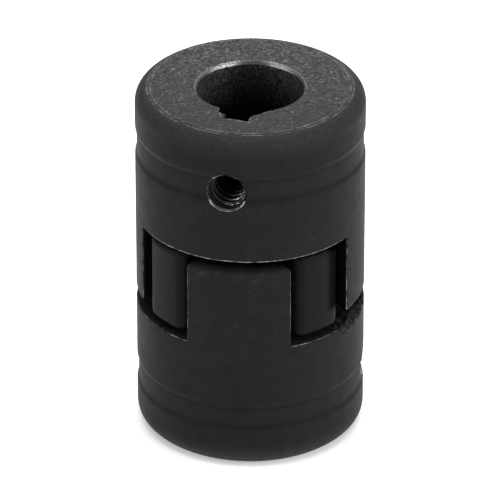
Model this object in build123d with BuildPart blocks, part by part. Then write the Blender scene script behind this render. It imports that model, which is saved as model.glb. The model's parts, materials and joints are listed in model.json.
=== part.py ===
"""Flexible jaw coupling for two half-inch shafts.

Two iron hubs face each other. Each has two jaws, and the jaws of one hub sit in the slots of the other,
a quarter turn apart. A four-legged rubber spider lies between the jaws and carries the load across.
Each hub holds its shaft with a key and a set screw.

Millimetres. The origin is the centre of the coupling and +Z runs along its axis, towards the upper hub.
The upper hub's jaws point down and lie along X. The lower hub's jaws point up and lie along Y.
"""

from build123d import *

import os
from math import cos, radians, sin

# Both hubs
HUB_RADIUS = 13.716
HUB_FACE_Z = 5.94  # the face between the jaws, measured from the centre of the coupling
HUB_END_Z = 22.26
HUB_EDGE_RADIUS = 1.85  # the rounded corner at the outer end
HUB_FACE_CHAMFER = 0.3
BORE_RADIUS = 6.35
BORE_CHAMFER_WIDTH = 0.25
BORE_CHAMFER_DEPTH = 0.54

# The shallow turned band near each hub's outer end
BAND_DEPTH = 0.21
BAND_LOW = 13.95
BAND_HIGH = 17.0
BAND_EDGE = 0.3

# Jaws. Their sides are parallel to the middle of the spider leg beside them.
SLOT_HALF_WIDTH = 4.236
JAW_INNER_RADIUS = 7.3
UPPER_JAW_LENGTH = 10.0
LOWER_JAW_LENGTH = 11.1
UPPER_JAW_TIP_RADIUS = 0.2  # faced tips, with the edges only broken
LOWER_JAW_TIP_RADIUS = 0.9  # tips as moulded

# Keyway and set-screw hole, on the same line, a little off the middle of the slot
KEY_ANGLE = -95.7  # degrees round from +X on the upper hub
KEYWAY_WIDTH = 3.175
KEYWAY_FLOOR_RADIUS = 8.2
SCREW_Z = 15.08
SCREW_HOLE_RADIUS = 2.095  # the pitch cylinder of the number 10 thread, with a running clearance
SCREW_HOLE_END_RADIUS = 3.2  # the hole breaks right through into the bore
SCREW_MOUTH_RADIUS = 2.4
COUNTERSINK_ANGLE = 90

# Set screws: number 10, 24 threads to the inch, an eighth of an inch long
SCREW_RADIUS = 2.045
SCREW_LENGTH = 3.175
SCREW_OUTER_RADIUS = 9.6  # from the coupling's axis to the screw's outer face
SCREW_CHAMFER = 0.25
SOCKET_ACROSS_FLATS = 2.38
SOCKET_DEPTH = 1.5
CUP_RADIUS = 1.15
CUP_DEPTH = 0.35
CUP_SLOPE = 45

# Spider, with its legs on the diagonals
LEG_COUNT = 4
FIRST_LEG_ANGLE = 45
SPIDER_BOTTOM_Z = -5.45
SPIDER_TOP_Z = 5.45
SPIDER_RADIUS = 13.3
SPIDER_CORE_RADIUS = 5.0
LEG_ROOT_HALF_WIDTH = 3.98
LEG_ROOT_AT = 5.2
LEG_END_HALF_WIDTH = 3.1
LEG_END_RADIUS = 1.1
LEG_ROOT_RADIUS = 1.0
SPIDER_EDGE_RADIUS = 0.8


def radial_plane(distance):
    """A plane square to the set screw, facing outwards, this far from the upper hub's axis."""
    outwards = (cos(radians(KEY_ANGLE)), sin(radians(KEY_ANGLE)), 0)
    return Plane(
        origin=(distance * outwards[0], distance * outwards[1], SCREW_Z),
        x_dir=(0, 0, 1),
        z_dir=outwards,
    )


def to_lower_side(piece):
    """Turn a piece made for the upper hub over to its place on the lower one, a quarter turn round."""
    return piece.rotate(Axis.X, 180).rotate(Axis.Z, -90)


def build_hub(jaw_length, tip_radius):
    """A hub in the upper place, with its jaws pointing down."""
    band_radius = HUB_RADIUS - BAND_DEPTH
    tip_z = HUB_FACE_Z - jaw_length
    with BuildPart() as hub:
        # Two jaws, each the part of a ring between two slots, with rounded tips. They start inside the
        # body, above the chamfer on its inner rim.
        slot_corner = SLOT_HALF_WIDTH * 2**0.5
        with BuildSketch(Plane.XY.offset(HUB_FACE_Z + HUB_FACE_CHAMFER)):
            with PolarLocations(0, 2):
                Polygon(
                    (slot_corner, 0),
                    (slot_corner + HUB_RADIUS, -HUB_RADIUS),
                    (slot_corner + HUB_RADIUS, HUB_RADIUS),
                    align=None,
                )
            Circle(HUB_RADIUS, mode=Mode.INTERSECT)
            Circle(JAW_INNER_RADIUS, mode=Mode.SUBTRACT)
        extrude(amount=tip_z - HUB_FACE_Z - HUB_FACE_CHAMFER)
        tip_sides = hub.edges().group_by(Axis.Z)[0].filter_by(GeomType.LINE)
        fillet(tip_sides, tip_radius)
        with BuildSketch(Plane.XZ):
            with BuildLine():
                Polyline(
                    (HUB_RADIUS, tip_z + tip_radius),
                    (HUB_RADIUS, HUB_END_Z),
                    (0, HUB_END_Z),
                    (0, tip_z),
                    (HUB_RADIUS - tip_radius, tip_z),
                )
                RadiusArc(
                    (HUB_RADIUS - tip_radius, tip_z),
                    (HUB_RADIUS, tip_z + tip_radius),
                    -tip_radius,
                )
            make_face()
        revolve(axis=Axis.Z, mode=Mode.INTERSECT)

        # Turned body: the ring between the bore and the outside
        with BuildSketch(Plane.XZ):
            with BuildLine():
                Polyline(
                    (HUB_RADIUS, HUB_END_Z - HUB_EDGE_RADIUS),
                    (HUB_RADIUS, BAND_HIGH + BAND_EDGE),
                    (band_radius, BAND_HIGH),
                    (band_radius, BAND_LOW),
                    (HUB_RADIUS, BAND_LOW - BAND_EDGE),
                    (HUB_RADIUS, HUB_FACE_Z + HUB_FACE_CHAMFER),
                    (HUB_RADIUS - HUB_FACE_CHAMFER, HUB_FACE_Z),
                    (BORE_RADIUS, HUB_FACE_Z),
                    (BORE_RADIUS, HUB_END_Z - BORE_CHAMFER_DEPTH),
                    (BORE_RADIUS + BORE_CHAMFER_WIDTH, HUB_END_Z),
                    (HUB_RADIUS - HUB_EDGE_RADIUS, HUB_END_Z),
                )
                RadiusArc(
                    (HUB_RADIUS - HUB_EDGE_RADIUS, HUB_END_Z),
                    (HUB_RADIUS, HUB_END_Z - HUB_EDGE_RADIUS),
                    HUB_EDGE_RADIUS,
                )
            make_face()
        revolve(axis=Axis.Z)

        # Keyway along the whole bore
        with BuildSketch(Plane.XY.offset(HUB_FACE_Z)):
            with Locations(Location((0, 0), KEY_ANGLE)):
                with Locations((KEYWAY_FLOOR_RADIUS / 2, 0)):
                    Rectangle(KEYWAY_FLOOR_RADIUS, KEYWAY_WIDTH)
        extrude(amount=HUB_END_Z - HUB_FACE_Z, mode=Mode.SUBTRACT)

        # Set-screw hole from the band into the keyway
        with Locations(radial_plane(band_radius)):
            CounterSinkHole(
                radius=SCREW_HOLE_RADIUS,
                counter_sink_radius=SCREW_MOUTH_RADIUS,
                depth=band_radius - SCREW_HOLE_END_RADIUS,
                counter_sink_angle=COUNTERSINK_ANGLE,
            )
    return hub.part


def build_set_screw():
    """A cup-point socket set screw in the upper hub, run in until it is just short of the shaft."""
    with BuildPart() as screw:
        with BuildSketch(radial_plane(SCREW_OUTER_RADIUS)):
            Circle(SCREW_RADIUS)
        extrude(amount=-SCREW_LENGTH)
        chamfer(screw.edges().filter_by(GeomType.CIRCLE), SCREW_CHAMFER)
        with BuildSketch(radial_plane(SCREW_OUTER_RADIUS)):
            RegularPolygon(radius=SOCKET_ACROSS_FLATS / 2, side_count=6, major_radius=False)
        extrude(amount=-SOCKET_DEPTH, mode=Mode.SUBTRACT)
        with BuildSketch(radial_plane(SCREW_OUTER_RADIUS - SCREW_LENGTH)):
            Circle(CUP_RADIUS)
        extrude(amount=CUP_DEPTH, taper=CUP_SLOPE, mode=Mode.SUBTRACT)
    return screw.part


with BuildPart() as upper_hub:
    add(build_hub(UPPER_JAW_LENGTH, UPPER_JAW_TIP_RADIUS))

with BuildPart() as lower_hub:
    add(to_lower_side(build_hub(LOWER_JAW_LENGTH, LOWER_JAW_TIP_RADIUS)))

with BuildPart() as upper_set_screw:
    add(build_set_screw())

with BuildPart() as lower_set_screw:
    add(to_lower_side(build_set_screw()))

with BuildPart() as spider:
    with BuildSketch(Plane.XY.offset(SPIDER_BOTTOM_Z)):
        Circle(SPIDER_CORE_RADIUS)
        with PolarLocations(0, LEG_COUNT, start_angle=FIRST_LEG_ANGLE):
            Polygon(
                (0, -LEG_ROOT_HALF_WIDTH),
                (LEG_ROOT_AT, -LEG_ROOT_HALF_WIDTH),
                (SPIDER_RADIUS, -LEG_END_HALF_WIDTH),
                (SPIDER_RADIUS, LEG_END_HALF_WIDTH),
                (LEG_ROOT_AT, LEG_ROOT_HALF_WIDTH),
                (0, LEG_ROOT_HALF_WIDTH),
                align=None,
            )
        Circle(SPIDER_RADIUS, mode=Mode.INTERSECT)
    extrude(amount=SPIDER_TOP_Z - SPIDER_BOTTOM_Z)

    # Two corners at the end of each leg, and one in the crook between each leg and the next
    upright = spider.edges().filter_by(Axis.Z).sort_by(SortBy.DISTANCE)
    fillet(upright[-2 * LEG_COUNT :], LEG_END_RADIUS)
    fillet(upright[:LEG_COUNT], LEG_ROOT_RADIUS)
    fillet(spider.faces().filter_by(Axis.Z).edges(), SPIDER_EDGE_RADIUS)

os.makedirs("parts", exist_ok=True)
for name, piece in (
    ("upper_hub", upper_hub),
    ("lower_hub", lower_hub),
    ("spider", spider),
    ("upper_set_screw", upper_set_screw),
    ("lower_set_screw", lower_set_screw),
):
    piece.part.label = name
    export_step(piece.part, f"parts/{name}.step")
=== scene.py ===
"""The looks of a black jaw coupling: two sintered-iron hubs, a rubber spider and two set screws.

Each piece is a solid described by a field: a function of a point that is negative inside the piece, zero
on its surface and positive outside. Fields are joined, cut and rounded with the few functions below, then
turned into a mesh. The fields work in millimetres and the meshes are in metres.

Both hubs are made in the upper hub's place, with the jaws pointing down, and so are both set screws.
"""

import json
from math import atan2, cos, pi, radians, sin, sqrt

import bpy
import numpy as np
import openvdb
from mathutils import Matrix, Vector


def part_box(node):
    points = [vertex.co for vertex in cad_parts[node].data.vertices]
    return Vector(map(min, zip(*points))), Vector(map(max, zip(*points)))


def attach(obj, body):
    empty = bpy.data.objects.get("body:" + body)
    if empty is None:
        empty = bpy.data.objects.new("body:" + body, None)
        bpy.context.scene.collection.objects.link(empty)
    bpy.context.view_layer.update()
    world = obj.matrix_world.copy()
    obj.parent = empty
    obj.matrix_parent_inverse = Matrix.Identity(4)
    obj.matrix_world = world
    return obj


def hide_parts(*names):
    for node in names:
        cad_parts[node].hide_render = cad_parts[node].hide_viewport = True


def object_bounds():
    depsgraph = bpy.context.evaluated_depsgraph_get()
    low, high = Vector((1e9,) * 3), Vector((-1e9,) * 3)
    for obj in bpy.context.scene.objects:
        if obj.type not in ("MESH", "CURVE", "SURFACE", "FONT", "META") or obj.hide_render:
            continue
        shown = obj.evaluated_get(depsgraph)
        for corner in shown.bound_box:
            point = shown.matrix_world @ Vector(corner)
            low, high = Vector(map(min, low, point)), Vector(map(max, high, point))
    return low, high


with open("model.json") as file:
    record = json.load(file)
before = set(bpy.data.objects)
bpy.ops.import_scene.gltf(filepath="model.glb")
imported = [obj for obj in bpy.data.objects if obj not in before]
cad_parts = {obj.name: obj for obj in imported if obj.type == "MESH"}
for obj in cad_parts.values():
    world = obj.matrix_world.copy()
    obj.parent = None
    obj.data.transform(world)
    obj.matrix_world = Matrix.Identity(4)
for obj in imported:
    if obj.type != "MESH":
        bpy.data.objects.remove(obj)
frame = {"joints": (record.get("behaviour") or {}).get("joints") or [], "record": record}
cad_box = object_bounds()

MM = 0.001

# Sizes from the frame, in millimetres
upper_low, upper_high = (np.array(corner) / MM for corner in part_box("upper_hub"))
lower_low, lower_high = (np.array(corner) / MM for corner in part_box("lower_hub"))
spider_low, spider_high = (np.array(corner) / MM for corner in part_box("spider"))
mounts = {mount["name"]: mount for mount in frame["record"]["mounts"]}
joints = {joint["name"]: joint for joint in frame["joints"]}

HUB_RADIUS = upper_high[0]
HUB_END = upper_high[2]
UPPER_TIP = upper_low[2]
LOWER_TIP = -lower_high[2]
BORE_RADIUS = mounts["upper_bore"]["dims"]["r_mm"]

# Hubs
HUB_FACE = 5.94
HUB_CORNER = 2.0
FACING = 0.006  # how much facing the end took off
FACE_RADIUS = 11.87  # where it left a ridge
RIDGE_HEIGHT = 0.02
RIDGE_WIDTH = 0.12
RING_RADIUS = 12.25  # a fainter ring on the rounded corner
BAND_DEPTH = 0.2
BAND_MIDDLE = 15.48
BAND_HALF = 1.6
BAND_EDGE = 0.4
CHAMFER_WIDTH = 0.25
CHAMFER_DEPTH = 0.54
BORE_EDGE = 0.03

# Jaws. One hub's tips are faced and the other's are as moulded.
SLOT_HALF = 4.236
JAW_INNER = 7.3
JAW_INNER_ROUNDING = 0.2
JAW_ROOT_FILLET = 0.3
EDGE_ROUNDING = 0.16
EDGE_UNEVEN = 0.04
FACED_TIP = 0.15
MOULDED_TIP = 1.0
MOULDED_REACH, MOULDED_FADE = 2.6, 1.4
TIP_BLEND = -1.0, 0.2  # how much nearer the tip than the sides, where its rounding starts and is full

# Keyway. The break at its upper end widens towards the bore, and more on the right.
KEYWAY_HALF = 1.588
KEYWAY_FLOOR = 8.2
KEYWAY_ROUNDING = 0.15
KEYWAY_EDGE = 0.06
BREAK_DEPTH = 0.8
BREAK_START = 5
BREAK_PAST_FLOOR = 0.42
BREAK_INSET = 0.1
BREAK_LEFT_SLOPE, BREAK_LEFT_END = 0.45, KEYWAY_FLOOR + 0.2
BREAK_RIGHT_SLOPE, BREAK_RIGHT_END = 0.95, KEYWAY_FLOOR - 0.5
BREAK_SIDES_RAGGED = 0.22, 0.2  # by the coarse grain and by the fine
BREAK_END_RAGGED = 0.22
BREAK_BOTTOM_RAGGED = 0.4

# The broken stretch of a hub's rim: its reach along the axis, out from the axis and round it in degrees
CHIPS_ABOVE, CHIPS_ABOVE_FADE = 1.6, 0.5
CHIPS_BELOW, CHIPS_BELOW_FADE = 1.2, 0.3
CHIPS_INNER, CHIPS_OUTER = 9.5, 12
CHIPS_ANGLE_FADE = 14
CHIPS_DEPTH = 0.1
CHIPS_RAGGED = 0.28, 0.2, 0.1  # by the coarse grain, the fine and the finest
CHIPS_ROUNDING = 0.6, 0.3, 0.15  # everywhere, by the coarse grain and by the fine

# Bumps of the sintered grain
COARSE_GRAIN = 1.3
FINE_GRAIN = 0.45
FINEST_GRAIN = 0.3
COARSE_RELIEF = 0.006
FINE_RELIEF = 0.004

# Set screws and their holes: number 10, 24 threads to the inch. The thread is 5/8 as high as a sharp one.
SCREW_ANGLE = atan2(joints["upper_screw_travel"]["axis"][1], joints["upper_screw_travel"]["axis"][0])
SCREW_HEIGHT = 15.08
SCREW_OUTER = 9.6
SCREW_INNER = 6.425
SCREW_END_RADIUS = 1.95
SCREW_POINT_RADIUS = 1.75
SCREW_ROUNDING = 0.05
PITCH = 25.4 / 24
THREAD_MAJOR = 2.413
THREAD_MINOR = THREAD_MAJOR - 0.625 * sqrt(3) / 2 * PITCH
THREAD_GAP = 0.1
THREAD_DULL = 0.12  # how much of its painted light it keeps on its dark side
THREAD_LIGHT_FADE = -0.8, 1.0  # across the hole, from its dark side to its bright one
HOLE_EDGE = 0.04
MOUTH_RADIUS = 2.3
MOUTH_FLARE = 0.4
IN_HOLE_RADIUS = MOUTH_RADIUS - 0.15
LIP_HALF = 0.14
LIP_HEIGHT = 0.04
LIP_DROP = 0.13  # how much lower the lip is on the side where it isn't raised
LIP_RAISED_TOWARDS = 0.6, -1.0  # across and up
LIP_FADE = 0.1, 0.9
LIP_ROUNDING = 0.06
LIP_FILLET = 0.08
LIP_START = 12  # keeps the lip off the far side of the hub
SOCKET_HALF = 1.19
SOCKET_DEPTH = 1.5
SOCKET_ROUNDING = 0.1
SOCKET_EDGE = 0.06
CUP_RADIUS = 1.3
CUP_SLOPE = 1.2
CUP_DEPTH = 1.2

# These scale sloping fields back to nearly a true distance
THREAD_SCALE = 0.6
MOUTH_SCALE = 0.9
CUP_SCALE = 1.5

# Spider
SPIDER_RADIUS = 13.3
LEG_ROOT = 5.2
LEG_ROOT_HALF = 3.98
LEG_END_HALF = 3.1
LEG_END_ROUNDING = 1.1
LEG_ROOT_ROUNDING = 1.0
LEG_EDGE_ROUNDING = 0.8
SPIDER_GRAIN = 2.5
SPIDER_RELIEF = 0.01
# A painted shadow of the jaws, on one side of two legs
JAW_SHADOW_SIDE = 0.7, 2.0  # from the middle of a leg
JAW_SHADOW_LOW, JAW_SHADOW_HIGH = 0.4, 1.6  # above the upper hub's jaw tips

# Grid steps of the meshes
HUB_STEP = 0.2
SPIDER_STEP = 0.25
SCREW_STEP = 0.08
SCREW_BOX_HALF = 3.2  # a screw's grid covers a cube, this far each way from the screw's middle

# How far a grid reaches past its piece, and how far from the surface it holds a distance, both in steps
GRID_MARGIN = 2.5
GRID_DEPTH = 3.0

SETTLE_ROUNDS = 3
SHARPEN_ROUNDS = 4
LEAST_SLOPE_SQUARED = 0.05  # so that a flat spot in a field throws no point far off


# Fields ------------------------------------------------------------------------------------------


def both(a, b, rounding):
    """Where two fields overlap. The edge between them is rounded to this radius."""
    corner = np.hypot(np.maximum(a + rounding, 0), np.maximum(b + rounding, 0))
    return np.minimum(np.maximum(a, b), -rounding) + corner


def either(a, b, rounding):
    """Two fields joined, with a fillet of this radius in the corner between them."""
    return -both(-a, -b, rounding)


def cut(a, b, rounding):
    """The first field with the second cut out of it."""
    return both(a, -b, rounding)


def smooth_step(value, start, end):
    t = np.clip((value - start) / (end - start), 0, 1)
    return t * t * (3 - 2 * t)


def noise(x, y, z, size, seed):
    """Smooth noise between -1 and 1, with bumps of about this size in millimetres."""
    table = np.random.default_rng(seed).uniform(-1, 1, 8192)
    primes = (7919, 104729, 1299709)
    cells = [np.floor(value / size).astype(np.int64) for value in (x, y, z)]
    parts = [value / size - cell for value, cell in zip((x, y, z), cells)]
    parts = [part * part * (3 - 2 * part) for part in parts]
    total = 0.0
    for corner in range(8):
        steps = [corner >> axis & 1 for axis in range(3)]
        weight = 1.0
        for part, step in zip(parts, steps):
            weight = weight * (part if step else 1 - part)
        mixed = [(cell + step) * prime for cell, step, prime in zip(cells, steps, primes)]
        total = total + weight * table[(mixed[0] ^ mixed[1] ^ mixed[2]) & (len(table) - 1)]
    return total


def thread_radius(along, around):
    """The radius of a right-hand thread's groove at this distance along its axis and angle round it."""
    turn = (along / PITCH - around / (2 * pi)) % 1
    from_middle = np.abs(turn - 0.5) * PITCH
    return np.clip(THREAD_MAJOR - (from_middle - PITCH / 16) * sqrt(3), THREAD_MINOR, THREAD_MAJOR)


def along_screw(x, y, z):
    """Distance from the hub's axis along the screw, distance to its side, and distance above it."""
    return (
        x * cos(SCREW_ANGLE) + y * sin(SCREW_ANGLE),
        -x * sin(SCREW_ANGLE) + y * cos(SCREW_ANGLE),
        z - SCREW_HEIGHT,
    )


class Hub:
    """A hub in the upper place. Its rim is broken for rough_half degrees either side of rough_angle.

    Angles are in degrees from -Y towards +X.
    """

    def __init__(self, tip, tip_rounding, rough_angle, rough_half, seed):
        self.tip = tip
        self.tip_rounding = tip_rounding
        self.rough_angle = rough_angle
        self.rough_half = rough_half
        self.seed = seed

    def coarse(self, x, y, z):
        return noise(x, y, z, COARSE_GRAIN, self.seed)

    def fine(self, x, y, z):
        return noise(x, y, z, FINE_GRAIN, self.seed + 1)

    def chipped(self, x, y, z):
        """1 on the broken stretch of the face between the jaws, 0 elsewhere."""
        angle = np.degrees(np.arctan2(x, -y))
        above = smooth_step(HUB_FACE + CHIPS_ABOVE - z, 0, CHIPS_ABOVE_FADE)
        below = smooth_step(z - HUB_FACE + CHIPS_BELOW, 0, CHIPS_BELOW_FADE)
        nearby = smooth_step(self.rough_half - np.abs(angle - self.rough_angle), 0, CHIPS_ANGLE_FADE)
        return nearby * smooth_step(np.hypot(x, y), CHIPS_INNER, CHIPS_OUTER) * (above * below)

    def outside(self, x, y, z):
        """The turned outside, with a shallow band."""
        in_band = smooth_step(BAND_HALF - np.abs(z - BAND_MIDDLE), -BAND_EDGE, BAND_EDGE)
        return np.hypot(x, y) - HUB_RADIUS + BAND_DEPTH * in_band

    def inside(self, x, y, z):
        """The face between the jaws joined to the jaws' sides, tips and inner faces."""
        by_coarse, by_fine, by_finest = CHIPS_RAGGED
        grains = by_coarse * self.coarse(x, y, z) + by_fine * self.fine(x, y, z)
        grains = grains + by_finest * noise(x, y, z, FINEST_GRAIN, seed=3)
        face = HUB_FACE - z + self.chipped(x, y, z) * (grains + CHIPS_DEPTH)
        jaws = both(self.side(x, y), self.tip - z, self.tip_rounding)
        jaws = both(jaws, JAW_INNER - np.hypot(x, y), JAW_INNER_ROUNDING)
        return either(face, jaws, JAW_ROOT_FILLET)

    def rim(self, x, y, z):
        """Distance from the edge where the outside meets the inside, positive on the outside."""
        return self.outside(x, y, z) - self.inside(x, y, z)

    def side(self, x, y):
        """Distance from the flat sides of the jaws, which lie along X."""
        return SLOT_HALF - (np.abs(x) - np.abs(y)) / sqrt(2)

    def at_tip(self, x, y, z):
        """1 where a jaw's tip is nearer than its sides, 0 elsewhere."""
        return smooth_step(self.tip - z - self.side(x, y), *TIP_BLEND)

    def rounded(self, x, y, z):
        """1 at a jaw's tip as moulded, with a rounded edge, 0 elsewhere."""
        near_tip = smooth_step(self.tip + MOULDED_REACH - z, 0, MOULDED_FADE)
        return self.at_tip(x, y, z) * near_tip * (self.tip_rounding == MOULDED_TIP)

    def mouth(self, x, y, z):
        """Distance from the edge of the tapped hole's mouth."""
        along, across, up = along_screw(x, y, z)
        return np.hypot(np.hypot(across, up) - MOUTH_RADIUS, along - HUB_RADIUS + BAND_DEPTH)

    def thread(self, x, y, z):
        """The tapped hole's thread, lit on one side by painted light: 0 outside the hole, 1 along its
        brighter side.
        """
        along, across, up = along_screw(x, y, z)
        in_hole = (along > 0) & (np.hypot(across, up) < IN_HOLE_RADIUS)
        return in_hole * (THREAD_DULL + (1 - THREAD_DULL) * smooth_step(across, *THREAD_LIGHT_FADE))

    def bore(self, x, y, z):
        """The chamfered bore."""
        r = np.hypot(x, y)
        slope = np.hypot(CHAMFER_WIDTH, CHAMFER_DEPTH)
        chamfer = (r - BORE_RADIUS) * CHAMFER_DEPTH - (z - HUB_END + CHAMFER_DEPTH) * CHAMFER_WIDTH
        return either(r - BORE_RADIUS, chamfer / slope, BORE_EDGE)

    def bore_rim(self, x, y, z):
        """Zero along the edge where the chamfer or the keyway meets the end face."""
        return z - HUB_END + np.minimum(self.bore(x, y, z), self.keyway(x, y, z))

    def keyway(self, x, y, z):
        """The keyway, with its upper end broken away towards the bore."""
        along, across, up = along_screw(x, y, z)
        coarse, fine = self.coarse(x, y, z), self.fine(x, y, z)
        slot = both(np.abs(across) - KEYWAY_HALF, along - KEYWAY_FLOOR, KEYWAY_ROUNDING)
        slot = np.maximum(slot, -along)

        left_spread = BREAK_LEFT_SLOPE * (BREAK_LEFT_END - along)
        right_spread = BREAK_RIGHT_SLOPE * np.maximum(BREAK_RIGHT_END - along, 0)
        spread = np.where(across > 0, right_spread, left_spread)
        by_coarse, by_fine = BREAK_SIDES_RAGGED
        broken = np.abs(across) - KEYWAY_HALF + BREAK_INSET - spread - by_coarse * coarse - by_fine * fine
        broken = np.maximum(broken, along - KEYWAY_FLOOR - BREAK_PAST_FLOOR - BREAK_END_RAGGED * fine)
        broken = np.maximum(broken, HUB_END - BREAK_DEPTH - BREAK_BOTTOM_RAGGED * coarse - z)
        return np.minimum(slot, np.maximum(broken, BREAK_START - along))

    def field(self, x, y, z):
        r = np.hypot(x, y)
        coarse, fine = self.coarse(x, y, z), self.fine(x, y, z)

        # The edge between outside and inside: rounded as moulded at the jaw tips, sharp elsewhere
        extra = self.at_tip(x, y, z) * (self.tip_rounding - EDGE_ROUNDING)
        plain, by_coarse, by_fine = CHIPS_ROUNDING
        chips = self.chipped(x, y, z) ** 2 * (plain + by_coarse * coarse + by_fine * fine)
        edge = EDGE_ROUNDING + EDGE_UNEVEN * fine + extra + chips
        hub = both(self.outside(x, y, z), self.inside(x, y, z), edge)

        # The end face, with the ridge that the facing tool left round it
        corner = both(self.outside(x, y, z), z - HUB_END - FACING, HUB_CORNER)
        ridge = RIDGE_HEIGHT * np.exp(-(((r - FACE_RADIUS) / RIDGE_WIDTH) ** 2)) * (1 + coarse)
        hub = np.maximum(hub, np.maximum(corner, z - HUB_END + RIDGE_HEIGHT - ridge))
        hub = cut(hub, self.bore(x, y, z), BORE_EDGE)
        hub = cut(hub, self.keyway(x, y, z), KEYWAY_EDGE)

        # Tapped hole, with a raised lip round its mouth
        along, across, up = along_screw(x, y, z)
        reach = np.hypot(across, up)
        around = np.arctan2(up, across)
        lean_across, lean_up = LIP_RAISED_TOWARDS
        raised = smooth_step(lean_across * np.cos(around) + lean_up * np.sin(around), *LIP_FADE)
        lip_top = r - HUB_RADIUS + LIP_HEIGHT + LIP_DROP * (1 - raised)
        lip = both(np.abs(reach - MOUTH_RADIUS) - LIP_HALF, lip_top, LIP_ROUNDING)
        hub = either(hub, np.maximum(lip, LIP_START - along), LIP_FILLET)
        hole = (reach - thread_radius(along, around)) * THREAD_SCALE
        mouth = (reach - MOUTH_RADIUS - (along - HUB_RADIUS + BAND_DEPTH) * MOUTH_FLARE) * MOUTH_SCALE
        hub = cut(hub, np.maximum(np.minimum(hole, mouth), -along), HOLE_EDGE)
        return hub + COARSE_RELIEF * (1 + coarse) + FINE_RELIEF * (1 + fine)


def spider_field(x, y, z):
    """Four tapered legs on the diagonals."""
    u = np.abs(x + y) / sqrt(2)
    v = np.abs(y - x) / sqrt(2)
    taper = (LEG_ROOT_HALF - LEG_END_HALF) / (SPIDER_RADIUS - LEG_ROOT)
    first = v - LEG_ROOT_HALF + taper * np.maximum(u - LEG_ROOT, 0)
    second = u - LEG_ROOT_HALF + taper * np.maximum(v - LEG_ROOT, 0)
    outside = np.hypot(x, y) - SPIDER_RADIUS
    first, second = both(first, outside, LEG_END_ROUNDING), both(second, outside, LEG_END_ROUNDING)
    legs = either(first, second, LEG_ROOT_ROUNDING)
    middle = (spider_low[2] + spider_high[2]) / 2
    half = (spider_high[2] - spider_low[2]) / 2
    spider = both(legs, np.abs(z - middle) - half, LEG_EDGE_ROUNDING)
    return spider + SPIDER_RELIEF * (1 + noise(x, y, z, SPIDER_GRAIN, seed=5))


def jaw_shadow(x, y, z):
    """1 along one side of two opposite legs, where a painted shadow of the jaws falls, 0 elsewhere."""
    from_middle = np.sign(x) * (x + y) / sqrt(2)
    above_tips = smooth_step(z, UPPER_TIP + JAW_SHADOW_LOW, UPPER_TIP + JAW_SHADOW_HIGH)
    return (x * y < 0) * smooth_step(from_middle, *JAW_SHADOW_SIDE) * above_tips


def screw_field(x, y, z):
    """A set screw in the upper place, with a hexagon socket outwards and a cup point inwards."""
    along, across, up = along_screw(x, y, z)
    reach = np.hypot(across, up)
    around = np.arctan2(up, across)
    from_outer = along - SCREW_OUTER
    from_inner = along - SCREW_INNER
    screw = (reach - thread_radius(along, around) + THREAD_GAP) * THREAD_SCALE
    screw = both(screw, from_outer, SCREW_ROUNDING)
    screw = both(screw, -from_inner, SCREW_ROUNDING)
    screw = both(screw, (reach - SCREW_END_RADIUS + from_outer) / sqrt(2), SCREW_ROUNDING)
    screw = both(screw, (reach - SCREW_POINT_RADIUS - from_inner) / sqrt(2), SCREW_ROUNDING)
    flats = [np.abs(across * cos(turn) + up * sin(turn)) for turn in (0, pi / 3, 2 * pi / 3)]
    socket = both(np.maximum.reduce(flats) - SOCKET_HALF, -SOCKET_DEPTH - from_outer, SOCKET_ROUNDING)
    screw = cut(screw, socket, SOCKET_EDGE)
    cup = (reach - CUP_RADIUS + from_inner * CUP_SLOPE) / CUP_SCALE
    return cut(screw, np.maximum(cup, from_inner - CUP_DEPTH), SCREW_ROUNDING)


def screw_reach(x, y, z):
    """Distance from the set screw's own axis."""
    along, across, up = along_screw(x, y, z)
    return np.hypot(across, up)


# Meshes ------------------------------------------------------------------------------------------


def gradient(field, points, step=0.01):
    """The field's slope at each point along X, Y and Z."""
    slopes = []
    for axis in range(3):
        ahead, behind = points.copy(), points.copy()
        ahead[:, axis] += step
        behind[:, axis] -= step
        slopes.append((field(*ahead.T) - field(*behind.T)) / (2 * step))
    return np.stack(slopes, axis=1)


def bend(field, points, step=0.13):
    """How sharply the surface bends outwards at each point, in 1/mm."""
    total = -6 * field(*points.T)
    for axis in range(3):
        for move in (-step, step):
            moved = points.copy()
            moved[:, axis] += move
            total += field(*moved.T)
    return total / step**2


def settle(points, field, most):
    """Points moved straight onto the field's surface, each by no more than about this far."""
    slope = gradient(field, points)
    size = np.maximum((slope**2).sum(axis=1), LEAST_SLOPE_SQUARED)
    move = np.clip(field(*points.T) / size, -most, most)
    return points - slope * move[:, None]


def sharpen(points, field, edge, cells, corner, step):
    """Moves points onto the line where the edge field is zero too, if it crosses their own grid cell."""
    near = np.flatnonzero(np.abs(edge(*points.T)) < 2 * step)
    moved = points[near]
    for _ in range(SHARPEN_ROUNDS):
        moved = settle(settle(moved, edge, step), field, step)
    same_cell = (np.floor((moved - corner) / step) == cells[near]).all(axis=1)
    points[near[same_cell]] = moved[same_cell]


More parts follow.
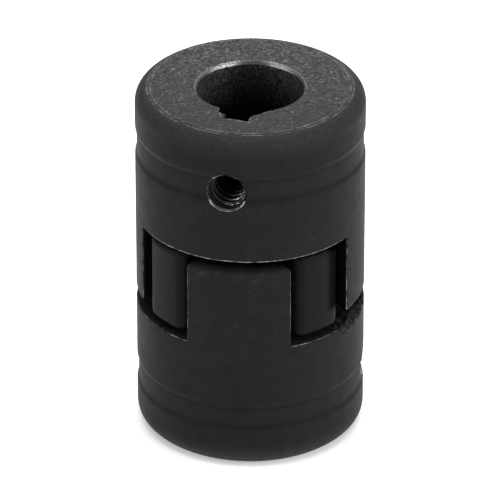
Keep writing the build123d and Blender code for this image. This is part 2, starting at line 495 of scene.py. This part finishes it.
def skin(name, field, low, high, step, marks, edges=(), turned_over=False):
    """A mesh object of the field's surface between two corners, from a grid of this step.

    marks holds fields whose values the mesh keeps as attributes for the materials. edges holds fields that
    are zero along sharp edges, which the mesh then follows. turned_over puts the piece in its lower place.
    """
    before, after = GRID_MARGIN * step, (GRID_MARGIN + 0.5) * step
    axes = [np.arange(a - before, b + after, step) for a, b in zip(low, high)]
    plan_x, plan_y = np.meshgrid(axes[0], axes[1], indexing="ij")
    layers = [field(plan_x, plan_y, np.full_like(plan_x, height)) for height in axes[2]]
    grid = openvdb.FloatGrid(GRID_DEPTH)
    depths = np.clip(np.stack(layers, axis=2) / step, -GRID_DEPTH, GRID_DEPTH)
    grid.copyFromArray(depths.astype(np.float32))
    points, quads = grid.convertToQuads(isovalue=0.0)
    corner = np.array([axis[0] for axis in axes])
    cells = np.floor(points)
    points = points.astype(float) * step + corner
    for _ in range(SETTLE_ROUNDS):
        points = settle(points, field, step / 2)
    for edge in edges:
        sharpen(points, field, edge, cells, corner, step)
    values = {"wear": bend(field, points)}
    for mark, mark_field in marks.items():
        values[mark] = mark_field(*points.T)
    normals = gradient(field, points)

    if turned_over:
        points = -points[:, [1, 0, 2]]
        normals = -normals[:, [1, 0, 2]]

    mesh = bpy.data.meshes.new(name)
    mesh.vertices.add(len(points))
    mesh.vertices.foreach_set("co", (points * MM).ravel())
    mesh.loops.add(quads.size)
    mesh.loops.foreach_set("vertex_index", quads.astype(np.int32).ravel())
    mesh.polygons.add(len(quads))
    mesh.polygons.foreach_set("loop_start", np.arange(0, quads.size, 4, dtype=np.int32))
    mesh.update(calc_edges=True)
    for mark, value in values.items():
        mesh.attributes.new(mark, "FLOAT", "POINT").data.foreach_set("value", value.astype(np.float32))
    mesh.shade_smooth()
    mesh.validate()
    mesh.normals_split_custom_set_from_vertices(normals / np.linalg.norm(normals, axis=1, keepdims=True))
    piece = bpy.data.objects.new(name, mesh)
    bpy.context.collection.objects.link(piece)
    return piece


# Materials ---------------------------------------------------------------------------------------


class Nodes:
    """Short calls for building a material's nodes."""

    def __init__(self, name):
        self.material = bpy.data.materials.new(name)
        self.material.use_nodes = True
        self.tree = self.material.node_tree
        self.shader = self.tree.nodes["Principled BSDF"]
        self.place = self.add("ShaderNodeTexCoord").outputs["Object"]

    def add(self, kind, **settings):
        node = self.tree.nodes.new(kind)
        for name, value in settings.items():
            setattr(node, name, value)
        return node

    def join(self, source, socket):
        if hasattr(source, "is_output"):
            self.tree.links.new(source, socket)
        else:
            socket.default_value = source

    def attribute(self, name):
        return self.add("ShaderNodeAttribute", attribute_name=name).outputs["Fac"]

    def math(self, operation, *values):
        node = self.add("ShaderNodeMath", operation=operation)
        for socket, value in zip(node.inputs, values):
            self.join(value, socket)
        return node.outputs[0]

    def times(self, first, *others):
        for other in others:
            first = self.math("MULTIPLY", first, other)
        return first

    def most(self, first, *others):
        for other in others:
            first = self.math("MAXIMUM", first, other)
        return first

    def away(self, value, middle):
        """How far a value is from this number, either way."""
        return self.math("ABSOLUTE", self.math("SUBTRACT", value, middle))

    def noise(self, size, detail=2.0, roughness=0.5, place=None):
        """Noise from 0 to 1 with bumps of about this size in millimetres."""
        node = self.add("ShaderNodeTexNoise")
        node.inputs["Scale"].default_value = 1 / (size * MM)
        node.inputs["Detail"].default_value = detail
        node.inputs["Roughness"].default_value = roughness
        self.join(place or self.place, node.inputs["Vector"])
        return node.outputs["Fac"]

    def ramp(self, value, start, end):
        """0 at start, 1 at end, smooth between and level beyond."""
        node = self.add("ShaderNodeMapRange", interpolation_type="SMOOTHSTEP")
        self.join(value, node.inputs["Value"])
        node.inputs["From Min"].default_value = start
        node.inputs["From Max"].default_value = end
        return node.outputs["Result"]

    def ramp_mm(self, value, start, end):
        """A ramp over a distance, with its ends in millimetres."""
        return self.ramp(value, start * MM, end * MM)

    def mix(self, amount, first, second):
        """Two numbers mixed."""
        node = self.add("ShaderNodeMix", data_type="FLOAT")
        self.join(amount, node.inputs["Factor"])
        self.join(first, node.inputs["A"])
        self.join(second, node.inputs["B"])
        return node.outputs["Result"]

    def mix_colour(self, amount, first, second):
        node = self.add("ShaderNodeMix", data_type="RGBA")
        self.join(amount, node.inputs["Factor"])
        for socket, value in zip((node.inputs[6], node.inputs[7]), (first, second)):
            self.join(value if hasattr(value, "is_output") else (*value, 1), socket)
        return node.outputs[2]

    def bump(self, height, strength, distance, below=None):
        """A bump from a height between 0 and 1. distance is in millimetres."""
        node = self.add("ShaderNodeBump")
        node.inputs["Strength"].default_value = strength
        node.inputs["Distance"].default_value = distance * MM
        self.join(height, node.inputs["Height"])
        if below is not None:
            self.join(below, node.inputs["Normal"])
        return node.outputs["Normal"]


def grey(tone):
    return (tone, tone, tone)


class Iron(Nodes):
    """Black-oxide sintered iron: matt and finely pitted, faced at the outer end, bright where its edges are
    rubbed bare.

    Some tones are painted light and shade on fixed parts of the surface: the faced end brightening towards
    the back, the rim line's front, the jaw tips' rounded edges, the chamfer's sides, the bore's sides and
    depth, the tapped hole's dark side and crest glints, the band's corners, the faces between the hubs and
    the lower hub's paler corner.
    """

    SINTERED = (0.0112, 0.0112, 0.0114), (0.0138, 0.0138, 0.0141)
    SPECKS = (0.05, 0.05, 0.051)
    # The lower hub's corner is paler than the upper one's, as painted light from the floor
    LOWER_CORNER, UPPER_CORNER = grey(0.055), grey(0.034)
    BAND_CORNER_SHADE = grey(0.004)
    SHADE_BETWEEN_HUBS = (0.0045, 0.0045, 0.0046), grey(0.021)
    BORE_DEPTH_SHADE = grey(0.008)
    BORE = grey(0.035), (0.3, 0.3, 0.295)
    FACED = grey(0.004), (0.09, 0.09, 0.088)
    STAINS = grey(0.008)
    FLECKS = (0.26, 0.26, 0.25)
    BROKEN = grey(0.005), (0.027, 0.026, 0.025)
    THREAD_SHADE = grey(0.0025)
    SMUDGES = grey(0.06)
    TIP_SHADE = grey(0.003)
    BARE = (0.32, 0.315, 0.31)
    CREST_GLINTS = (0.7, 0.69, 0.68)

    def __init__(self, name):
        super().__init__(name)
        self.shader.inputs["Specular IOR Level"].default_value = 0.055
        split = self.add("ShaderNodeSeparateXYZ")
        self.join(self.place, split.inputs[0])
        self.x, self.y, self.z = split.outputs
        squares = self.math("ADD", self.times(self.x, self.x), self.times(self.y, self.y))
        self.radius = self.math("SQRT", squares)
        self.height = self.math("ABSOLUTE", self.z)
        self.rim = self.attribute("rim")
        self.chipped = self.attribute("chipped")
        self.rounded = self.attribute("rounded")
        self.thread = self.attribute("thread")
        self.patches = self.noise(0.8, 3, 0.65)
        self.in_bore = self.ramp_mm(self.radius, BORE_RADIUS + 0.1, BORE_RADIUS + 0.04)

        # The faced end, and painted light that grows from front to back, which also makes the face more
        # scuffed, flecked and metallic towards the back
        self.faced = self.ramp_mm(self.height, HUB_END - 0.06, HUB_END - 0.02)
        self.wear_and_sheen = self.mix(self.ramp_mm(self.y, -0.8 * HUB_RADIUS, 0.8 * HUB_RADIUS), 0.3, 1.0)
        self.scuffs = self.times(self.ramp(self.noise(0.4, 4, 0.85), 0.43, 0.62), self.wear_and_sheen)

        # Noise drawn out along circles round the axis
        self.polar = self.add("ShaderNodeCombineXYZ")
        self.join(self.radius, self.polar.inputs[0])
        around = self.math("ARCTAN2", self.y, self.x)
        self.join(self.times(around, 1.6 * MM), self.polar.inputs[1])
        self.rings = self.noise(0.22, 3, 0.6, self.polar.outputs[0])

        tone, rough = self.body()
        tone, rough = self.machined(tone, rough)
        tone = self.damaged(tone)
        self.finish(tone, rough)

    def body(self):
        """As sintered: dark, with fine pale specks."""
        mottle = self.ramp(self.noise(1.8, 4, 0.65), 0.3, 0.7)
        tone = self.mix_colour(mottle, *self.SINTERED)
        specks = self.times(
            self.ramp(self.noise(0.32, 2, 0.5), 0.64, 0.76), self.ramp(self.noise(3.5, 2), 0.5, 0.65)
        )
        tone = self.mix_colour(self.times(specks, 0.5), tone, self.SPECKS)
        rough = self.mix(mottle, 0.56, 0.5)

        # A little paler on the rounded outer corner, in blotches, and more so on the lower hub, whose corner
        # faces the floor: that difference is painted light
        blotches = self.ramp(self.noise(0.5, 3, 0.8), 0.34, 0.68)
        shoulder = self.ramp_mm(self.height, HUB_END - 3.2, HUB_END - 0.1)
        shoulder = self.times(shoulder, self.mix(blotches, 0.4, 0.9))
        pale = self.mix_colour(self.ramp_mm(self.z, -1, 1), self.LOWER_CORNER, self.UPPER_CORNER)
        tone = self.mix_colour(shoulder, tone, pale)

        # Painted shade in the corners of the shallow band
        from_band = self.away(self.height, BAND_MIDDLE * MM)
        corners = self.times(self.ramp_mm(from_band, 0.7, 1.2), self.ramp_mm(from_band, 1.7, 1.4))
        tone = self.mix_colour(self.times(corners, 0.35), tone, self.BAND_CORNER_SHADE)

        # Painted shade on the faces between the hubs, which lie in the gaps, with a paler grain where they
        # are flat
        flat = self.ramp_mm(self.height, HUB_FACE - 0.3, HUB_FACE - 0.05)
        grain = self.times(self.ramp(self.noise(0.4, 3, 0.65), 0.35, 0.7), flat)
        shade_between_hubs = self.mix_colour(grain, *self.SHADE_BETWEEN_HUBS)
        return self.mix_colour(self.ramp(self.rim, -0.15, -0.5), tone, shade_between_hubs), rough

    def machined(self, tone, rough):
        """The bore, with painted shade away from its mouth and painted light on its two sides near the
        mouth, and the faced end.
        """
        speckled = self.ramp(self.noise(0.3, 4, 0.8), 0.4, 0.7)
        bore_tone = self.mix_colour(speckled, *self.BORE)
        # Painted light on the bore's two sides near the mouth, and painted shade deeper in
        lit_bore_sides = self.ramp_mm(self.away(self.x, -0.8 * MM), 0.4, 5)
        near_mouth = self.ramp_mm(self.height, HUB_END - 8, HUB_END)
        near_mouth = self.times(near_mouth, self.mix(lit_bore_sides, 0.5, 1.25))
        bore_tone = self.mix_colour(near_mouth, self.BORE_DEPTH_SHADE, bore_tone)
        tone = self.mix_colour(self.in_bore, tone, bore_tone)
        rough = self.mix(self.in_bore, rough, 0.34)

        faced_tone = self.mix_colour(self.scuffs, *self.FACED)
        stains = self.times(self.ramp(self.noise(1.3, 4, 0.75), 0.46, 0.62), 0.4)
        faced_tone = self.mix_colour(stains, faced_tone, self.STAINS)
        flecks = self.times(
            self.ramp(self.noise(0.36, 2, 0.6), 0.58, 0.68),
            self.ramp(self.noise(1.6, 2), 0.42, 0.6),
            self.math("MULTIPLY_ADD", self.wear_and_sheen, 0.4, 0.3),
        )
        faced_tone = self.mix_colour(flecks, faced_tone, self.FLECKS)
        tone = self.mix_colour(self.faced, tone, faced_tone)
        return tone, self.mix(self.faced, rough, self.mix(self.rings, 0.36, 0.55))

    def damaged(self, tone):
        """The broken rim, painted shade on the dark side of the tapped hole, and the jaw tips: pale smudges,
        with painted shade on their rounded edges.
        """
        bare_grain = self.ramp(self.noise(0.4, 3, 0.6), 0.4, 0.65)
        broken = self.mix_colour(bare_grain, *self.BROKEN)
        tone = self.mix_colour(self.chipped, tone, broken)
        # Painted shade on the tapped hole's dark side
        dark_side = self.times(self.ramp(self.thread, 0.0, 0.1), self.ramp(self.thread, 0.7, 0.2))
        tone = self.mix_colour(dark_side, tone, self.THREAD_SHADE)
        smudges = self.times(self.ramp(self.noise(1.1, 3, 0.65), 0.5, 0.72), self.rounded)
        tone = self.mix_colour(self.times(smudges, 0.3), tone, self.SMUDGES)
        # Painted shade along the rounded edges of the moulded jaw tips, where the other hub's rim overhangs
        # them
        under = self.times(self.ramp(self.rim, 1.0, 0.0), self.rounded, 0.75)
        return self.mix_colour(under, tone, self.TIP_SHADE)

    def rim_line(self):
        """A thin broken line along the rims between the hubs, wider and stronger along the front as a
        painted highlight.
        """
        y_reach = self.ramp_mm(self.y, -0.3 * HUB_RADIUS, -0.8 * HUB_RADIUS)
        front = self.times(y_reach, self.ramp_mm(self.z, 5, 5.6))
        reach = self.math("MULTIPLY_ADD", self.patches, 0.26, -0.06)
        reach = self.math("ADD", reach, self.times(front, 0.08))
        line = self.math("SUBTRACT", reach, self.math("ABSOLUTE", self.rim))
        whole = self.math("SUBTRACT", 1.0, self.most(self.rounded, self.chipped))
        strength = self.mix(self.ramp(self.noise(3.5, 2), 0.35, 0.65), 0.2, 0.75)
        return self.times(
            self.ramp(line, 0.0, 0.05), self.ramp(self.patches, 0.3, 0.55), whole, self.most(strength, front)
        )

    def turned_rings(self):
        """The ridge round the faced end, and the fainter ring outside it."""
        ridge = self.ramp_mm(self.away(self.radius, FACE_RADIUS * MM), 0.08, 0.03)
        ridge = self.times(ridge, self.faced, self.ramp(self.noise(1.2, 4, 0.75), 0.42, 0.66))
        ring = self.ramp_mm(self.away(self.radius, RING_RADIUS * MM), 0.1, 0.03)
        on_corner = self.ramp_mm(self.height, HUB_END - 0.3, HUB_END - 0.1)
        ring = self.times(ring, on_corner, self.ramp(self.noise(0.7, 3, 0.75), 0.42, 0.62))
        return self.most(self.times(ridge, 0.42), self.times(ring, 0.32))

    def chamfer(self):
        """The chamfer round the bore, with the marks of a tool that chattered, brighter a little to either
        side of its middle as a painted highlight.
        """
        low, edge = HUB_END - CHAMFER_DEPTH, BORE_RADIUS + CHAMFER_WIDTH
        chamfer = self.ramp_mm(self.height, low, low + 0.03)
        chamfer = self.times(chamfer, self.ramp_mm(self.radius, edge + 0.04, edge))
        chatter = self.ramp(self.noise(0.05, 1, 0.5, self.polar.outputs[0]), 0.4, 0.6)
        aside = self.away(self.x, -0.3 * MM)
        sides = self.times(self.ramp_mm(aside, 0.8, 2.2), self.mix(self.ramp_mm(aside, 5.5, 3.5), 0.5, 1.0))
        return self.times(chamfer, self.mix(chatter, 0.35, 1.0), self.mix(sides, 0.3, 1.0))

    def finish(self, tone, rough):
        """Bare metal over the tone, and the bumps."""
        mouth = self.times(self.ramp(self.attribute("mouth"), 0.2, 0.1), self.ramp(self.patches, 0.25, 0.5))
        crests = self.math("MULTIPLY_ADD", self.attribute("wear"), 0.2, self.times(self.patches, 0.8))
        crests = self.times(self.ramp(crests, 0.6, 1.5), self.thread)
        from_keyway = self.math("ABSOLUTE", self.attribute("keyway"))
        burr = self.times(self.ramp(from_keyway, 0.22, 0.05), self.ramp(self.patches, 0.35, 0.6), self.faced)
        bare = self.most(
            self.rim_line(), self.turned_rings(), self.chamfer(), mouth, self.times(crests, 0.9), burr
        )
        # The thread's crests are bare metal, with a painted glint that is brightest on the hole's lit side
        bare_tone = self.mix_colour(crests, self.BARE, self.CREST_GLINTS)
        self.join(self.mix_colour(bare, tone, bare_tone), self.shader.inputs["Base Color"])
        # The face grows more metallic towards the back, along with the painted light
        face_metal = self.times(self.faced, self.math("MULTIPLY_ADD", self.wear_and_sheen, 0.45, 0.02))
        metal = self.most(face_metal, self.times(self.in_bore, 0.7))
        self.join(self.mix(bare, metal, 0.9), self.shader.inputs["Metallic"])
        self.join(self.mix(bare, rough, 0.2), self.shader.inputs["Roughness"])

        normal = self.bump(self.noise(0.16, 3, 0.65), 0.35, 0.03)
        normal = self.bump(self.times(self.rings, self.faced), 0.6, 0.03, normal)
        normal = self.bump(self.times(self.scuffs, self.faced), 0.6, 0.04, normal)
        normal = self.bump(self.times(self.noise(0.3, 3, 0.6), self.chipped), 0.6, 0.12, normal)
        self.join(normal, self.shader.inputs["Normal"])


def black_rubber(name):
    """Moulded nitrile rubber: smooth and satin, with a faint bloom. dark_side imitates shade."""
    n = Nodes(name)
    dark_side = n.attribute("jaw_shadow")
    n.join(n.mix(dark_side, 0.06, 0.01), n.shader.inputs["Specular IOR Level"])
    tone = n.mix_colour(n.noise(3.0, 4, 0.6), (0.0045, 0.0045, 0.0047), (0.0075, 0.0075, 0.0078))
    n.join(n.mix_colour(dark_side, tone, grey(0.0004)), n.shader.inputs["Base Color"])
    n.join(n.mix(n.noise(0.8, 3), 0.42, 0.52), n.shader.inputs["Roughness"])
    n.join(n.bump(n.noise(0.25, 3, 0.6), 0.2, 0.02), n.shader.inputs["Normal"])
    return n.material


def black_steel(name):
    """Black-oxide alloy steel, brighter on the thread crests."""
    n = Nodes(name)
    n.shader.inputs["Specular IOR Level"].default_value = 0.1
    wear_and_sheen = n.ramp(n.math("MULTIPLY_ADD", n.noise(0.5), 3.0, n.attribute("wear")), 6.0, 9.0)
    wear_and_sheen = n.times(wear_and_sheen, n.ramp(n.attribute("reach"), 1.6, 1.9))
    tone = n.mix_colour(n.noise(0.9, 3), (0.005, 0.005, 0.0052), (0.009, 0.009, 0.0094))
    n.join(n.mix_colour(wear_and_sheen, tone, grey(0.06)), n.shader.inputs["Base Color"])
    n.join(n.mix(n.noise(0.6, 3), 0.35, 0.5), n.shader.inputs["Roughness"])
    n.join(n.times(wear_and_sheen, 0.5), n.shader.inputs["Metallic"])
    n.join(n.bump(n.noise(0.12, 2), 0.2, 0.01), n.shader.inputs["Normal"])
    return n.material


# Pieces ------------------------------------------------------------------------------------------

HUB_MARKS = ("rim", "chipped", "rounded", "mouth", "thread", "keyway")

iron = Iron("black iron").material
rubber = black_rubber("black rubber")
steel = black_steel("black steel")
upper = Hub(UPPER_TIP, FACED_TIP, rough_angle=-150, rough_half=18, seed=11)
lower = Hub(LOWER_TIP, MOULDED_TIP, rough_angle=15, rough_half=27, seed=23)

screw_middle = (SCREW_OUTER + SCREW_INNER) / 2
screw_centre = np.array((screw_middle * cos(SCREW_ANGLE), screw_middle * sin(SCREW_ANGLE), SCREW_HEIGHT))


def hub_skin(name, hub, turned_over):
    low, high = (-HUB_RADIUS, -HUB_RADIUS, hub.tip), (HUB_RADIUS, HUB_RADIUS, HUB_END)
    marks = {mark: getattr(hub, mark) for mark in HUB_MARKS}
    edges = (hub.rim, hub.bore_rim)
    return skin(name, hub.field, low, high, HUB_STEP, marks, edges, turned_over=turned_over)


def spider_skin(name):
    return skin(name, spider_field, spider_low, spider_high, SPIDER_STEP, {"jaw_shadow": jaw_shadow})


def screw_skin(name, turned_over):
    low, high = screw_centre - SCREW_BOX_HALF, screw_centre + SCREW_BOX_HALF
    return skin(name, screw_field, low, high, SCREW_STEP, {"reach": screw_reach}, turned_over=turned_over)


made = (
    (hub_skin("upper_hub_iron", upper, False), "upper_hub", iron, "hub_iron"),
    (hub_skin("lower_hub_iron", lower, True), "lower_hub", iron, "hub_iron"),
    (spider_skin("spider_rubber"), "spider", rubber, "spider_rubber"),
    (screw_skin("upper_screw", False), "upper_set_screw", steel, "screw_steel"),
    (screw_skin("lower_screw", True), "lower_set_screw", steel, "screw_steel"),
)
for piece, node, material, slot in made:
    piece.data.materials.append(material)
    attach(piece, node)
    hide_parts(node)


# Floor, light and camera ---------------------------------------------------------------------------


def floor():
    """A plain pale floor that gives off a little light, which softens the shadow on it."""
    bpy.ops.mesh.primitive_plane_add(size=6, location=(0, 0, cad_box[0][2]))
    plane = bpy.context.object
    plane.name = "floor"
    n = Nodes("floor")
    n.join((0.9, 0.9, 0.9, 1), n.shader.inputs["Base Color"])
    n.join((1, 1, 1, 1), n.shader.inputs["Emission Color"])
    n.join(0.3, n.shader.inputs["Emission Strength"])
    n.join(0.9, n.shader.inputs["Roughness"])
    n.join(0.1, n.shader.inputs["Specular IOR Level"])
    plane.data.materials.append(n.material)


def place(thing, azimuth, elevation, distance):
    """Puts a lamp or camera facing the middle of the object. Azimuth 0 is in front, 90 to the right."""
    a, e = radians(azimuth), radians(elevation)
    thing.location = Vector((sin(a) * cos(e), -cos(a) * cos(e), sin(e))) * distance
    thing.rotation_euler = (-thing.location).to_track_quat("-Z", "Y").to_euler()
    bpy.context.collection.objects.link(thing)


def softbox(name, azimuth, elevation, distance, width, height, power):
    lamp = bpy.data.objects.new(name, bpy.data.lights.new(name, "AREA"))
    lamp.data.shape = "RECTANGLE"
    lamp.data.size = width
    lamp.data.size_y = height
    lamp.data.energy = power
    lamp.visible_camera = False
    place(lamp, azimuth, elevation, distance)


def camera(azimuth, elevation, distance, lens, shift):
    eye = bpy.data.objects.new("camera", bpy.data.cameras.new("camera"))
    eye.data.lens = lens
    eye.data.sensor_width = 36
    eye.data.shift_x, eye.data.shift_y = shift
    eye.data.clip_start = 0.01
    place(eye, azimuth, elevation, distance)
    bpy.context.scene.camera = eye


floor()
world = bpy.data.worlds.new("studio")
world.use_nodes = True
world.node_tree.nodes["Background"].inputs["Color"].default_value = (1, 1, 1, 1)
world.node_tree.nodes["Background"].inputs["Strength"].default_value = 0.23
bpy.context.scene.world = world
softbox("left", azimuth=-62, elevation=22, distance=0.6, width=0.6, height=0.4, power=1.3)
softbox("right", azimuth=66, elevation=22, distance=0.6, width=0.6, height=0.4, power=2.55)
softbox("back", azimuth=186, elevation=40, distance=0.15, width=0.12, height=0.08, power=0.12)
softbox("top", azimuth=180, elevation=85, distance=0.6, width=0.6, height=0.6, power=3.6)
camera(azimuth=6.3, elevation=29.6, distance=0.6564, lens=393.75, shift=(-0.0007, -0.0008))
bpy.context.scene.view_settings.view_transform = "Standard"
